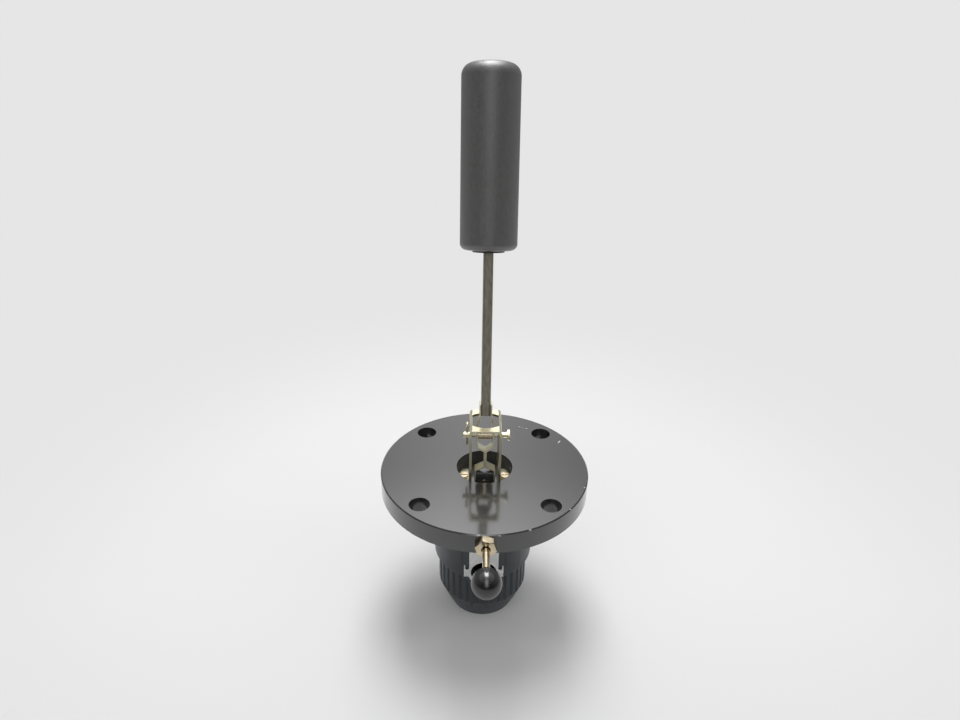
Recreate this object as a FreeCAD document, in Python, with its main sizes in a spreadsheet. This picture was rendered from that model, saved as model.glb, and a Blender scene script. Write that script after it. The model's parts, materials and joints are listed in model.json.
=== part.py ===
import FreeCAD, Part
import Sketcher
import math
import os

from FreeCAD import Vector

# Side-mounting magnetic float level switch, standing upright on its switch housing.
# Origin: centre of the flange's tank-side face. +Z points into the tank, millimetres.
# The float arm leans back, towards +Y, on the edge of its bracket's window.

doc = FreeCAD.newDocument("level_switch")
sheet = doc.addObject("Spreadsheet::Sheet", "sizes")


# A size knows its number and its formula in the sheet, so sums of sizes stay bound to the cells.
class Size:
    def __init__(self, formula, value):
        self.formula = formula
        self.value = value

    def __add__(self, other):
        other = as_size(other)
        return Size(f"({self.formula} + {other.formula})", self.value + other.value)

    def __sub__(self, other):
        other = as_size(other)
        return Size(f"({self.formula} - {other.formula})", self.value - other.value)

    def __mul__(self, other):
        other = as_size(other)
        return Size(f"({self.formula} * {other.formula})", self.value * other.value)

    def __truediv__(self, other):
        other = as_size(other)
        return Size(f"({self.formula} / {other.formula})", self.value / other.value)

    def __neg__(self):
        return Size(f"(0 - {self.formula})", -self.value)


def as_size(number):
    if isinstance(number, Size):
        return number
    return Size(f"({number!r})", float(number))


def root(size):
    return Size(f"sqrt({size.formula})", math.sqrt(size.value))


def sine(angle):
    return Size(f"sin({angle.formula} * 1 deg)", math.sin(math.radians(angle.value)))


def cosine(angle):
    return Size(f"cos({angle.formula} * 1 deg)", math.cos(math.radians(angle.value)))


zero = Size("0", 0.0)
named_sizes = []


def size(name, number):
    row = len(named_sizes) + 1
    named_sizes.append(name)
    sheet.set(f"A{row}", name)
    sheet.set(f"B{row}", str(number))
    sheet.setAlias(f"B{row}", name)
    return Size(f"sizes.{name}", float(number))


# Clearances
running_gap = size("running_gap", 0.05)
fastener_gap = size("fastener_gap", 0.1)
seat_gap = size("seat_gap", 0.2)

# Mounting flange
flange_diameter = size("flange_diameter", 155)
flange_thickness = size("flange_thickness", 16)
flange_edge = size("flange_edge", 0.8)
bolt_edge = size("bolt_edge", 12.5)
bolt_hole = size("bolt_hole", 15)
recess_diameter = size("recess_diameter", 42)
hub_diameter = size("hub_diameter", 58)
hub_seat = size("hub_seat", 4)
hub_height = size("hub_height", 8)
rocker_pocket = size("rocker_pocket", 23)
magnet_wall = size("magnet_wall", 2.5)

# Switch housing and its screw cap
gasket_thickness = size("gasket_thickness", 1)
screw_offset = size("screw_offset", 5)
rim_edge = size("rim_edge", 4.5)
housing_rim_height = size("housing_rim_height", 6)
housing_diameter = size("housing_diameter", 81)
housing_wall = size("housing_wall", 3.5)
housing_shoulder = size("housing_shoulder", 58)
housing_length = size("housing_length", 74)
housing_foot_diameter = size("housing_foot_diameter", 70)
shoulder_curve = size("shoulder_curve", 34)
neck_diameter = size("neck_diameter", 62)
neck_wall = size("neck_wall", 3)
neck_length = size("neck_length", 14)
housing_screw = size("housing_screw", 5)
housing_screw_head = size("housing_screw_head", 8.5)
housing_screw_head_height = size("housing_screw_head_height", 5)
housing_screw_depth = size("housing_screw_depth", 10)
cap_diameter = size("cap_diameter", 69.2)
cap_gap = size("cap_gap", 0.3)
cap_barrel = size("cap_barrel", 12.7)
cap_knee_drop = size("cap_knee_drop", 12.5)
cap_knee_diameter = size("cap_knee_diameter", 59)
cap_foot_drop = size("cap_foot_drop", 9.3)
cap_foot_diameter = size("cap_foot_diameter", 50)
cap_floor = size("cap_floor", 4)
cap_wall = size("cap_wall", 3.2)
flute_count = size("flute_count", 36)
flute_radius = size("flute_radius", 1.5)
flute_depth = size("flute_depth", 0.6)
flute_length = size("flute_length", 16)
flute_start = size("flute_start", 2)
seal_thickness = size("seal_thickness", 2)

# Cable entry
entry_drop = size("entry_drop", 62.2)
entry_hole = size("entry_hole", 18.4)
entry_stand = size("entry_stand", 4.5)
entry_width = size("entry_width", 30)
entry_root = size("entry_root", 1)
entry_top = size("entry_top", 30)
plate_thickness = size("plate_thickness", 1)
plate_width = size("plate_width", 21.4)
plate_rise = size("plate_rise", 20.3)
plate_ring = size("plate_ring", 23.6)
ear_span = size("ear_span", 29)
ear_rise = size("ear_rise", 6.8)
ear_drop = size("ear_drop", 3.9)
ear_notch = size("ear_notch", 2.9)
ear_notch_depth = size("ear_notch_depth", 2.8)
ear_notch_curve = size("ear_notch_curve", 1.5)

# Pivot bracket, stamped from sheet
sheet_thickness = size("sheet_thickness", 1.8)
bend_radius = size("bend_radius", 0.5)
bracket_width = size("bracket_width", 23.2)
bracket_depth = size("bracket_depth", 30.4)
bracket_top = size("bracket_top", 40.5)
window_width = size("window_width", 19.4)
window_curve = size("window_curve", 15.5)
leg_taper_top = size("leg_taper_top", -2)
leg_taper_bottom = size("leg_taper_bottom", -8)
foot_depth = size("foot_depth", 22.4)
foot_gap = size("foot_gap", 1.2)
foot_screw_spacing = size("foot_screw_spacing", 31.4)
foot_screw = size("foot_screw", 4)
foot_screw_head = size("foot_screw_head", 6.8)
foot_screw_head_height = size("foot_screw_head_height", 2.6)
foot_screw_slot = size("foot_screw_slot", 1)
foot_screw_depth = size("foot_screw_depth", 5)

# Pivot pin and split pin
pivot_height = size("pivot_height", 28.3)
pin_diameter = size("pin_diameter", 4)
pin_left = size("pin_left", 16.6)
pin_right = size("pin_right", 16.2)
pin_head = size("pin_head", 8.2)
pin_head_thickness = size("pin_head_thickness", 2)
pin_lead = size("pin_lead", 0.8)
pin_head_edge = size("pin_head_edge", 0.4)
split_place = size("split_place", 13.3)
split_diameter = size("split_diameter", 1.6)
split_leg_gap = size("split_leg_gap", 0.05)
split_eye = size("split_eye", 5.4)
split_neck = size("split_neck", 1.6)
split_rise = size("split_rise", 4.2)
split_tail = size("split_tail", 8.3)
split_turn = size("split_turn", 87)

# Float arm, measured along the arm from the pivot
lean_angle = size("lean_angle", 14.5)
stop_gap = size("stop_gap", 0.25)
cheek_thickness = size("cheek_thickness", 1.1)
cheek_depth = size("cheek_depth", 12)
cheek_top = size("cheek_top", 24)
cheek_flare_top = size("cheek_flare_top", 15)
cheek_flare_bottom = size("cheek_flare_bottom", 5)
cheek_gap = size("cheek_gap", 10.8)
cheek_waist_top = size("cheek_waist_top", -8)
blade_top = size("blade_top", -11)
blade_bottom = size("blade_bottom", -23.4)
magnet_box_top = size("magnet_box_top", -26.4)
magnet_box_gap = size("magnet_box_gap", 12.9)
cheek_bottom = size("cheek_bottom", -37.5)
rivet_diameter = size("rivet_diameter", 2.5)
rivet_high = size("rivet_high", -14.6)
rivet_low = size("rivet_low", -20.4)
sleeve_diameter = size("sleeve_diameter", 6.4)
magnet_top = size("magnet_top", -27.6)
magnet_bottom = size("magnet_bottom", -37)
rod_width = size("rod_width", 7)
rod_depth = size("rod_depth", 9)
rod_edge = size("rod_edge", 1.6)
rod_bottom = size("rod_bottom", 15.6)
rod_in_float = size("rod_in_float", 26)
float_bottom = size("float_bottom", 134.4)
float_length = size("float_length", 122.6)
float_diameter = size("float_diameter", 40)
float_top_edge = size("float_top_edge", 8)
float_bottom_edge = size("float_bottom_edge", 4.5)
float_dome = size("float_dome", 0.8)
sprue_diameter = size("sprue_diameter", 2.6)
sprue_height = size("sprue_height", 1.3)
sprue_place = size("sprue_place", 2.5)
seat_plate_diameter = size("seat_plate_diameter", 22.7)
seat_plate_thickness = size("seat_plate_thickness", 1.4)

# Push rod for testing, along -Y through the flange's rim
push_drop = size("push_drop", 7.2)
push_diameter = size("push_diameter", 5)
gland_across_flats = size("gland_across_flats", 13)
gland_head = size("gland_head", 6)
gland_spigot = size("gland_spigot", 10)
gland_spigot_length = size("gland_spigot_length", 7)
gland_bore = size("gland_bore", 6.3)
gland_turn = size("gland_turn", 17)
packing_length = size("packing_length", 4)
tip_diameter = size("tip_diameter", 9.4)
tip_length = size("tip_length", 5)
tip_face = size("tip_face", 16.5)
tip_pocket_gap = size("tip_pocket_gap", 0.25)
knob_diameter = size("knob_diameter", 19.6)
knob_place = size("knob_place", 113.3)
knob_flat = size("knob_flat", 9)
knob_bore_depth = size("knob_bore_depth", 13)

# Switch module inside the housing
carrier_sheet = size("carrier_sheet", 1.5)
carrier_width = size("carrier_width", 42)
carrier_depth = size("carrier_depth", 37)
carrier_cheek_gap = size("carrier_cheek_gap", 22)
carrier_cheek_depth = size("carrier_cheek_depth", 14)
carrier_cheek_length = size("carrier_cheek_length", 20)
carrier_back_width = size("carrier_back_width", 26)
carrier_back_length = size("carrier_back_length", 60)
module_screw = size("module_screw", 3)
module_screw_head = size("module_screw_head", 5.5)
module_screw_head_height = size("module_screw_head_height", 2)
module_screw_depth = size("module_screw_depth", 5)
module_screw_spacing = size("module_screw_spacing", 34)
rocker_drop = size("rocker_drop", 38)
rocker_pin = size("rocker_pin", 3)
rocker_tilt = size("rocker_tilt", 9)
rocker_width = size("rocker_width", 10)
rocker_boss = size("rocker_boss", 7)
rocker_stem = size("rocker_stem", 3)
rocker_magnet_width = size("rocker_magnet_width", 7)
rocker_magnet_height = size("rocker_magnet_height", 5)
rocker_magnet_gap = size("rocker_magnet_gap", 1.6)
rocker_tail = size("rocker_tail", 13.5)
rocker_nose = size("rocker_nose", 3.6)
rocker_nose_height = size("rocker_nose_height", 3)
switch_width = size("switch_width", 20)
switch_height = size("switch_height", 6.5)
switch_depth = size("switch_depth", 9.5)
plunger_diameter = size("plunger_diameter", 2.4)
plunger_reach = size("plunger_reach", 2.4)
plunger_socket = size("plunger_socket", 4)
terminal_width = size("terminal_width", 24)
terminal_height = size("terminal_height", 12)
terminal_depth = size("terminal_depth", 11)
terminal_screw = size("terminal_screw", 3)
terminal_screw_head = size("terminal_screw_head", 4.6)
terminal_screw_sink = size("terminal_screw_sink", 3)
terminal_pitch = size("terminal_pitch", 7.4)

doc.recompute()

# Places that follow from the sizes
flange_radius = flange_diameter / 2
bolt_circle = flange_diameter - bolt_edge * 2
housing_top = -(flange_thickness + gasket_thickness)
hub_bottom = -(flange_thickness + hub_height)
recess_floor = hub_seat - flange_thickness
housing_radius = housing_diameter / 2
screw_circle = housing_diameter + screw_offset * 2
housing_rim_diameter = screw_circle + rim_edge * 2
entry_reach = housing_radius + entry_stand
entry_depth = entry_stand + housing_wall + entry_root
neck_top = housing_top - housing_length
neck_bottom = neck_top - neck_length
cap_top = neck_top - cap_gap
cap_shoulder = neck_bottom - seal_thickness
cap_knee = cap_top - cap_barrel - cap_knee_drop
cap_foot = cap_knee - cap_foot_drop
bracket_half = bracket_width / 2
leg_inside = bracket_half - sheet_thickness
foot_top = recess_floor + sheet_thickness
foot_reach = recess_diameter / 2 - foot_gap
rod_half = rod_width / 2
diagonal = Size("sqrt(0.5)", math.sqrt(0.5))


# The window's ends stop the arm: its neck touches the plate's top edge at the lean angle.
stop_height = bracket_top - pivot_height
stop_reach = (stop_height * sine(lean_angle) + cheek_depth / 2) / cosine(lean_angle)
flare_share = (cheek_flare_top - stop_height) / (cheek_flare_top - cheek_flare_bottom)
stop_side = rod_half + cheek_thickness + (cheek_gap / 2 - rod_half) * flare_share
window_centre = stop_reach + stop_gap - root(window_curve * window_curve - stop_side * stop_side)
window_side = window_width / 2
window_corner = window_centre + root(window_curve * window_curve - window_side * window_side)


def bind(thing, setting, value):
    thing.setExpression(setting, as_size(value).formula)


def new_body(label):
    body = doc.addObject("PartDesign::Body", label)
    body.Label = label
    return body


def plane(body, role):
    for feature in body.Origin.OriginFeatures:
        if feature.Role == role:
            return feature
    raise RuntimeError(role)


def new_sketch(body, role, lift=None):
    sketch = body.newObject("Sketcher::SketchObject", body.Label + "_sketch")
    sketch.AttachmentSupport = [(plane(body, role), "")]
    sketch.MapMode = "FlatFace"
    if lift is not None:
        sketch.setExpression("AttachmentOffset.Base.z", lift.formula)
    return sketch


def constrain(sketch, constraints, formulas):
    first = sketch.ConstraintCount
    sketch.addConstraint(constraints)
    for offset, formula in formulas.items():
        sketch.setExpression(f"Constraints[{first + offset}]", formula)


# A closed outline. A corner is (x, y), or (x, y, radius, side) where an arc leads to it:
# side 1 has the arc's centre on the left of the way round, side -1 on the right.
def outline(sketch, corners):
    edges = []
    arcs = []
    count = len(corners)
    for index in range(count):
        start = corners[index]
        finish = corners[(index + 1) % count]
        begin = Vector(as_size(start[0]).value, as_size(start[1]).value, 0)
        end = Vector(as_size(finish[0]).value, as_size(finish[1]).value, 0)
        if len(finish) == 2:
            edge = sketch.addGeometry(Part.LineSegment(begin, end), False)
            edges.append((edge, 1, 2))
            continue
        radius = as_size(finish[2])
        side = finish[3]
        half = (end - begin) * 0.5
        depth = math.sqrt(max(radius.value ** 2 - half.Length ** 2, 0))
        left = Vector(-half.y, half.x, 0).normalize()
        centre = begin + half + left * (side * depth)
        first, last = (begin, end) if side > 0 else (end, begin)
        turn_from = math.atan2(first.y - centre.y, first.x - centre.x)
        turn_to = math.atan2(last.y - centre.y, last.x - centre.x)
        circle = Part.Circle(centre, Vector(0, 0, 1), radius.value)
        edge = sketch.addGeometry(Part.ArcOfCircle(circle, turn_from, turn_to), False)
        edges.append((edge, 1, 2) if side > 0 else (edge, 2, 1))
        arcs.append((edge, radius))
    constraints = []
    formulas = {}
    for index in range(count):
        edge, start_end, finish_end = edges[index]
        following = edges[(index + 1) % count]
        constraints.append(Sketcher.Constraint("Coincident", edge, finish_end, following[0], following[1]))
    for index in range(count):
        edge, start_end, finish_end = edges[index]
        across = as_size(corners[index][0])
        along = as_size(corners[index][1])
        formulas[len(constraints)] = across.formula
        constraints.append(Sketcher.Constraint("DistanceX", edge, start_end, across.value))
        formulas[len(constraints)] = along.formula
        constraints.append(Sketcher.Constraint("DistanceY", edge, start_end, along.value))
    for edge, radius in arcs:
        formulas[len(constraints)] = radius.formula
        constraints.append(Sketcher.Constraint("Radius", edge, radius.value))
    constrain(sketch, constraints, formulas)


def circle(sketch, across, along, radius):
    across = as_size(across)
    along = as_size(along)
    centre = Vector(across.value, along.value, 0)
    edge = sketch.addGeometry(Part.Circle(centre, Vector(0, 0, 1), radius.value), False)
    constraints = [
        Sketcher.Constraint("DistanceX", edge, 3, across.value),
        Sketcher.Constraint("DistanceY", edge, 3, along.value),
        Sketcher.Constraint("Radius", edge, radius.value),
    ]
    constrain(sketch, constraints, {0: across.formula, 1: along.formula, 2: radius.formula})


def box_outline(sketch, left, right, low, high):
    outline(sketch, [(left, low), (right, low), (right, high), (left, high)])


def pad(body, sketch, length, way="One side", backwards=False):
    feature = body.newObject("PartDesign::Pad", body.Label + "_pad")
    feature.Profile = sketch
    feature.SideType = way
    feature.Reversed = backwards
    bind(feature, "Length", length)
    return feature


def pocket(body, sketch, length=None, way="One side", backwards=False):
    feature = body.newObject("PartDesign::Pocket", body.Label + "_pocket")
    feature.Profile = sketch
    feature.SideType = way
    feature.Reversed = backwards
    if length is None:
        feature.Type = "ThroughAll"
    else:
        bind(feature, "Length", length)
    return feature


def revolve(body, sketch, axis="V_Axis"):
    feature = body.newObject("PartDesign::Revolution", body.Label + "_turn")
    feature.Profile = sketch
    feature.ReferenceAxis = (sketch, [axis])
    feature.Angle = 360
    return feature


def groove(body, sketch, axis="V_Axis"):
    feature = body.newObject("PartDesign::Groove", body.Label + "_groove")
    feature.Profile = sketch
    feature.ReferenceAxis = (sketch, [axis])
    feature.Angle = 360
    return feature


def around(body, feature, sketch, count):
    pattern = body.newObject("PartDesign::PolarPattern", body.Label + "_pattern")
    pattern.Originals = [feature]
    pattern.Axis = (sketch, ["N_Axis"])
    pattern.Angle = 360
    bind(pattern, "Occurrences", count)
    body.Tip = pattern
    return pattern


def bevel_edges(body, feature, length, chosen):
    doc.recompute()
    names = [f"Edge{number + 1}" for number, edge in enumerate(feature.Shape.Edges) if chosen(edge)]
    chamfer = body.newObject("PartDesign::Chamfer", body.Label + "_chamfer")
    chamfer.Base = (feature, names)
    bind(chamfer, "Size", length)
    return chamfer


def is_ring(edge):
    return isinstance(edge.Curve, Part.Circle) and edge.isClosed()


def cylinder(name, radius, length, place, turn=None):
    solid = doc.addObject("Part::Cylinder", name)
    bind(solid, "Radius", radius)
    bind(solid, "Height", length)
    locate(solid, place, turn)
    return solid


def locate(thing, place, turn=None):
    across, along, up = (as_size(value).formula for value in place)
    if turn is None:
        thing.setExpression("Placement.Base.x", across)
        thing.setExpression("Placement.Base.y", along)
        thing.setExpression("Placement.Base.z", up)
        return
    axis, angle = turn
    thing.setExpression(
        "Placement",
        f"create(<<placement>>; create(<<vector>>; {across}; {along}; {up}); "
        f"create(<<rotation>>; create(<<vector>>; {axis[0]}; {axis[1]}; {axis[2]}); {as_size(angle).formula}))",
    )


def join(name, solids):
    fused = doc.addObject("Part::MultiFuse", name)
    fused.Shapes = solids
    return fused


def group(label, solids):
    compound = doc.addObject("Part::Compound", label)
    compound.Label = label
    compound.Links = solids
    return compound


# The arm's pieces are drawn upright round the pivot, then leaned back with it.
def lean_back(body):
    locate(body, (zero, zero, pivot_height), ((1, 0, 0), -lean_angle))


def make_mounting_flange():
    body = new_body("mounting_flange")
    face = new_sketch(body, "XY_Plane")
    circle(face, zero, zero, flange_radius)
    disc = pad(body, face, flange_thickness, backwards=True)
    bevel_edges(body, disc, flange_edge, is_ring)

    recess = new_sketch(body, "XY_Plane")
    circle(recess, zero, zero, recess_diameter / 2)
    pocket(body, recess)
    seat = new_sketch(body, "XY_Plane", -flange_thickness)
    circle(seat, zero, zero, hub_diameter / 2 + fastener_gap)
    pocket(body, seat, hub_seat, backwards=True)

    rim = new_sketch(body, "XZ_Plane", flange_radius)
    circle(rim, zero, -push_drop, push_diameter / 2 + running_gap)
    pocket(body, rim, flange_radius)
    gland = new_sketch(body, "XZ_Plane", flange_radius)
    circle(gland, zero, -push_drop, gland_spigot / 2 + fastener_gap)
    pocket(body, gland, gland_spigot_length + packing_length + seat_gap)
    tip = new_sketch(body, "XZ_Plane", tip_face)
    circle(tip, zero, -push_drop, tip_diameter / 2 + tip_pocket_gap)
    pocket(body, tip, tip_length + seat_gap, backwards=True)

    fixing = new_sketch(body, "XY_Plane", -flange_thickness)
    circle(fixing, screw_circle * diagonal / 2, screw_circle * diagonal / 2, housing_screw / 2 + fastener_gap)
    fixing_hole = pocket(body, fixing, housing_screw_depth + 1, backwards=True)
    around(body, fixing_hole, fixing, 4)

    bolts = new_sketch(body, "XY_Plane")
    circle(bolts, bolt_circle * diagonal / 2, bolt_circle * diagonal / 2, bolt_hole / 2)
    bolt = pocket(body, bolts)
    around(body, bolt, bolts, 4)
    return body


# The recess's floor is its own turned piece: thin over the rocker's magnet, so that the
# tank side stays closed and the two magnets still feel each other.
def make_flange_hub():
    body = new_body("flange_hub")
    seat_top = hub_seat - flange_thickness
    disc = new_sketch(body, "XY_Plane", seat_top)
    circle(disc, zero, zero, hub_diameter / 2)
    pad(body, disc, hub_seat + hub_height, backwards=True)

    under = new_sketch(body, "XY_Plane", hub_bottom)
    circle(under, zero, zero, rocker_pocket / 2)
    pocket(body, under, hub_seat + hub_height - magnet_wall, backwards=True)

    feet = new_sketch(body, "XY_Plane", seat_top)
    for side in (-1, 1):
        circle(feet, foot_screw_spacing * side / 2, zero, foot_screw / 2 + fastener_gap)
    pocket(body, feet, foot_screw_depth + 1)

    module = new_sketch(body, "XY_Plane", hub_bottom)
    for side in (-1, 1):
        circle(module, module_screw_spacing * side / 2, zero, module_screw / 2 + fastener_gap)
    pocket(body, module, module_screw_depth, backwards=True)
    return body


def make_flange_gasket():
    body = new_body("flange_gasket")
    ring = new_sketch(body, "XY_Plane", -flange_thickness)
    circle(ring, zero, zero, housing_rim_diameter / 2)
    circle(ring, zero, zero, hub_diameter / 2 + seat_gap)
    pad(body, ring, gasket_thickness, backwards=True)
    fixing = new_sketch(body, "XY_Plane", -flange_thickness)
    circle(fixing, screw_circle * diagonal / 2, screw_circle * diagonal / 2, housing_screw / 2 + seat_gap)
    hole = pocket(body, fixing)
    around(body, hole, fixing, 4)
    return body


def make_switch_housing():
    body = new_body("switch_housing")
    shoulder = housing_top - housing_shoulder
    foot_radius = housing_foot_diameter / 2
    neck_radius = neck_diameter / 2
    neck_inside = neck_radius - neck_wall
    rim_bottom = housing_top - housing_rim_height
    inside = housing_radius - housing_wall
    hub_hole = hub_diameter / 2 + seat_gap
    shell = new_sketch(body, "XZ_Plane")
    outline(shell, [
        (hub_hole, housing_top),
        (hub_hole, rim_bottom),
        (inside, rim_bottom),
        (inside, shoulder),
        (foot_radius - housing_wall - 0.5, neck_top + housing_wall, shoulder_curve - housing_wall, -1),
        (neck_inside, neck_top + housing_wall),
        (neck_inside, neck_bottom),
        (neck_radius, neck_bottom),
        (neck_radius, neck_top),
        (foot_radius, neck_top),
        (housing_radius, shoulder, shoulder_curve, 1),
        (housing_radius, rim_bottom),
        (housing_rim_diameter / 2, rim_bottom),
        (housing_rim_diameter / 2, housing_top),
    ])
    revolve(body, shell)

    half = entry_width / 2
    boss = new_sketch(body, "XZ_Plane", entry_reach)
    outline(boss, [
        (half, -entry_drop, half, 1),
        (half, -entry_top),
        (-half, -entry_top),
        (-half, -entry_drop),
        (zero, -(entry_drop + half), half, 1),
    ])
    pad(body, boss, entry_depth, backwards=True)
    hole = new_sketch(body, "XZ_Plane", entry_reach)
    circle(hole, zero, -entry_drop, entry_hole / 2)
    pocket(body, hole, entry_depth + housing_wall)

    fixing = new_sketch(body, "XY_Plane", housing_top)
    circle(fixing, screw_circle * diagonal / 2, screw_circle * diagonal / 2, housing_screw / 2 + seat_gap)
    fixing_hole = pocket(body, fixing, housing_rim_height)
    around(body, fixing_hole, fixing, 4)
    return body


def make_housing_cap():
    body = new_body("housing_cap")
    outside = cap_diameter / 2
    knee = cap_knee_diameter / 2
    foot = cap_foot_diameter / 2
    thread = neck_diameter / 2 + seat_gap
    bowl = new_sketch(body, "XZ_Plane")
    outline(bowl, [
        (thread, cap_top),
        (thread, cap_shoulder),
        (neck_diameter / 2 - neck_wall, cap_shoulder),
        (knee - cap_wall, cap_knee + cap_wall),
        (foot - cap_wall, cap_foot + cap_floor),
        (zero, cap_foot + cap_floor),
        (zero, cap_foot),
        (foot, cap_foot),
        (knee, cap_knee),
        (outside, cap_top - cap_barrel),
        (outside, cap_top),
    ])
    revolve(body, bowl)
    flutes = new_sketch(body, "XY_Plane", cap_top - flute_start)
    circle(flutes, outside + flute_radius - flute_depth, zero, flute_radius)
    flute = pocket(body, flutes, flute_length)
    around(body, flute, flutes, flute_count)
    return body


def make_cap_seal():
    seal = doc.addObject("Part::Cut", "cap_seal")
    seal.Label = "cap_seal"
    seal.Base = cylinder("seal_outside", neck_diameter / 2, seal_thickness, (zero, zero, cap_shoulder))
    seal.Tool = cylinder("seal_inside", neck_diameter / 2 - neck_wall, seal_thickness, (zero, zero, cap_shoulder))
    return seal


def make_cable_entry_plate():
    body = new_body("cable_entry_plate")
    half = plate_width / 2
    ear = ear_span / 2
    ring = plate_ring / 2
    ring_side = root(ring * ring - ear_drop * ear_drop)
    ear_top = ear_rise - entry_drop
    ear_bottom = -(entry_drop + ear_drop)
    notch_bottom = ear_top - ear_notch_depth
    horn = half + ear_notch
    face = new_sketch(body, "XZ_Plane", entry_reach)
    outline(face, [
        (half, plate_rise - entry_drop),
        (-half, plate_rise - entry_drop),
        (-half, notch_bottom),
        (-horn, notch_bottom, ear_notch_curve, -1),
        (-horn, ear_top),
        (-ear, ear_top),
        (-ear, ear_bottom),
        (-ring_side, ear_bottom),
        (zero, -(entry_drop + ring), ring, 1),
        (ring_side, ear_bottom, ring, 1),
        (ear, ear_bottom),
        (ear, ear_top),
        (horn, ear_top),
        (horn, notch_bottom),
        (half, notch_bottom, ear_notch_curve, -1),
    ])
    pad(body, face, plate_thickness)
    opening = new_sketch(body, "XZ_Plane", entry_reach + plate_thickness)
    circle(opening, zero, -entry_drop, entry_hole / 2 + seat_gap)
    pocket(body, opening, plate_thickness)
    return body


def make_housing_screws():
    screws = []
    head_bottom = housing_top - housing_rim_height - housing_screw_head_height
    length = housing_screw_depth + gasket_thickness + housing_rim_height
    for number, (across, along) in enumerate([(1, 1), (-1, 1), (-1, -1), (1, -1)]):
        across = screw_circle * diagonal * across / 2
        along = screw_circle * diagonal * along / 2
        head = cylinder(f"housing_screw_head_{number}", housing_screw_head / 2, housing_screw_head_height,
                        (across, along, head_bottom))
        shank = cylinder(f"housing_screw_shank_{number}", housing_screw / 2, length,
                         (across, along, head_bottom + housing_screw_head_height))
        socket = doc.addObject("Part::Prism", f"housing_screw_socket_{number}")
        socket.Polygon = 6
        bind(socket, "Circumradius", housing_screw / 2)
        bind(socket, "Height", housing_screw_head_height / 2)
        locate(socket, (across, along, head_bottom))
        screw = doc.addObject("Part::Cut", f"housing_screw_{number}")
        screw.Base = join(f"housing_screw_body_{number}", [head, shank])
        screw.Tool = socket
        screws.append(screw)
    return group("housing_screws", screws)


def make_pivot_bracket():
    body = new_body("pivot_bracket")
    wide = bend_radius + sheet_thickness
    plate_under = bracket_top - sheet_thickness
    strip = new_sketch(body, "XZ_Plane")
    outline(strip, [
        (-foot_reach, recess_floor),
        (-(leg_inside + wide), recess_floor),
        (-leg_inside, recess_floor + wide, wide, 1),
        (-leg_inside, plate_under - bend_radius),
        (bend_radius - leg_inside, plate_under, bend_radius, -1),
        (leg_inside - bend_radius, plate_under),
        (leg_inside, plate_under - bend_radius, bend_radius, -1),
        (leg_inside, recess_floor + wide),
        (leg_inside + wide, recess_floor, wide, 1),
        (foot_reach, recess_floor),
        (foot_reach, foot_top),
        (bracket_half + bend_radius, foot_top),
        (bracket_half, foot_top + bend_radius, bend_radius, -1),
        (bracket_half, bracket_top - wide),
        (bracket_half - wide, bracket_top, wide, 1),
        (wide - bracket_half, bracket_top),
        (-bracket_half, bracket_top - wide, wide, 1),
        (-bracket_half, foot_top + bend_radius),
        (-(bracket_half + bend_radius), foot_top, bend_radius, -1),
        (-foot_reach, foot_top),
    ])
    pad(body, strip, bracket_depth, way="Symmetric")

    half = bracket_depth / 2
    foot = foot_depth / 2
    taper = new_sketch(body, "YZ_Plane")
    for end in (-1, 1):
        outline(taper, [
            (half * end, leg_taper_top),
            (foot * end, leg_taper_bottom),
            (foot * end, recess_floor - 1),
            ((half + 1) * end, recess_floor - 1),
            ((half + 1) * end, leg_taper_top),
        ])
    pocket(body, taper, way="Symmetric")

    window = new_sketch(body, "XY_Plane", bracket_top)
    outline(window, [
        (window_side, -window_corner, window_curve, 1),
        (window_side, window_corner),
        (-window_side, window_corner, window_curve, 1),
        (-window_side, -window_corner),
    ])
    pocket(body, window, wide)

    pivot = new_sketch(body, "YZ_Plane")
    circle(pivot, zero, pivot_height, pin_diameter / 2 + running_gap)
    pocket(body, pivot, way="Symmetric")

    feet = new_sketch(body, "XY_Plane", foot_top)
    circle(feet, zero, zero, foot_reach)
    circle(feet, zero, zero, foot_reach + foot_depth)
    for side in (-1, 1):
        circle(feet, foot_screw_spacing * side / 2, zero, foot_screw / 2 + seat_gap)
    pocket(body, feet, sheet_thickness)
    return body


def make_bracket_screws():
    screws = []
    for number, side in enumerate((-1, 1)):
        across = foot_screw_spacing * side / 2
        length = foot_screw_depth + sheet_thickness
        head = cylinder(f"foot_screw_head_{number}", foot_screw_head / 2, foot_screw_head_height,
                        (across, zero, foot_top))
        shank = cylinder(f"foot_screw_shank_{number}", foot_screw / 2, length, (across, zero, foot_top - length))
        slot = doc.addObject("Part::Box", f"foot_screw_slot_{number}")
        bind(slot, "Length", foot_screw_head)
        bind(slot, "Width", foot_screw_slot)
        bind(slot, "Height", foot_screw_head_height / 2)
        locate(slot, (across - foot_screw_head / 2, -foot_screw_slot / 2, foot_top + foot_screw_head_height / 2))
        screw = doc.addObject("Part::Cut", f"foot_screw_{number}")
        screw.Base = join(f"foot_screw_body_{number}", [head, shank])
        screw.Tool = slot
        screws.append(screw)
    return group("bracket_screws", screws)


def make_pivot_pin():
    body = new_body("pivot_pin")
    radius = pin_diameter / 2
    head = pin_head / 2
    end = pin_right + pin_head_thickness
    side = new_sketch(body, "XZ_Plane")
    outline(side, [
        (-pin_left, zero),
        (end, zero),
        (end, head - pin_head_edge),
        (end - pin_head_edge, head),
        (pin_right, head),
        (pin_right, radius),
        (pin_lead - pin_left, radius),
        (-pin_left, radius - pin_lead),
    ])
    revolve(body, side, "H_Axis")
    cross = new_sketch(body, "XY_Plane")
    circle(cross, -split_place, zero, split_diameter / 2 + running_gap)
    pocket(body, cross, way="Symmetric")
    locate(body, (zero, zero, pivot_height))
    return body


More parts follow.
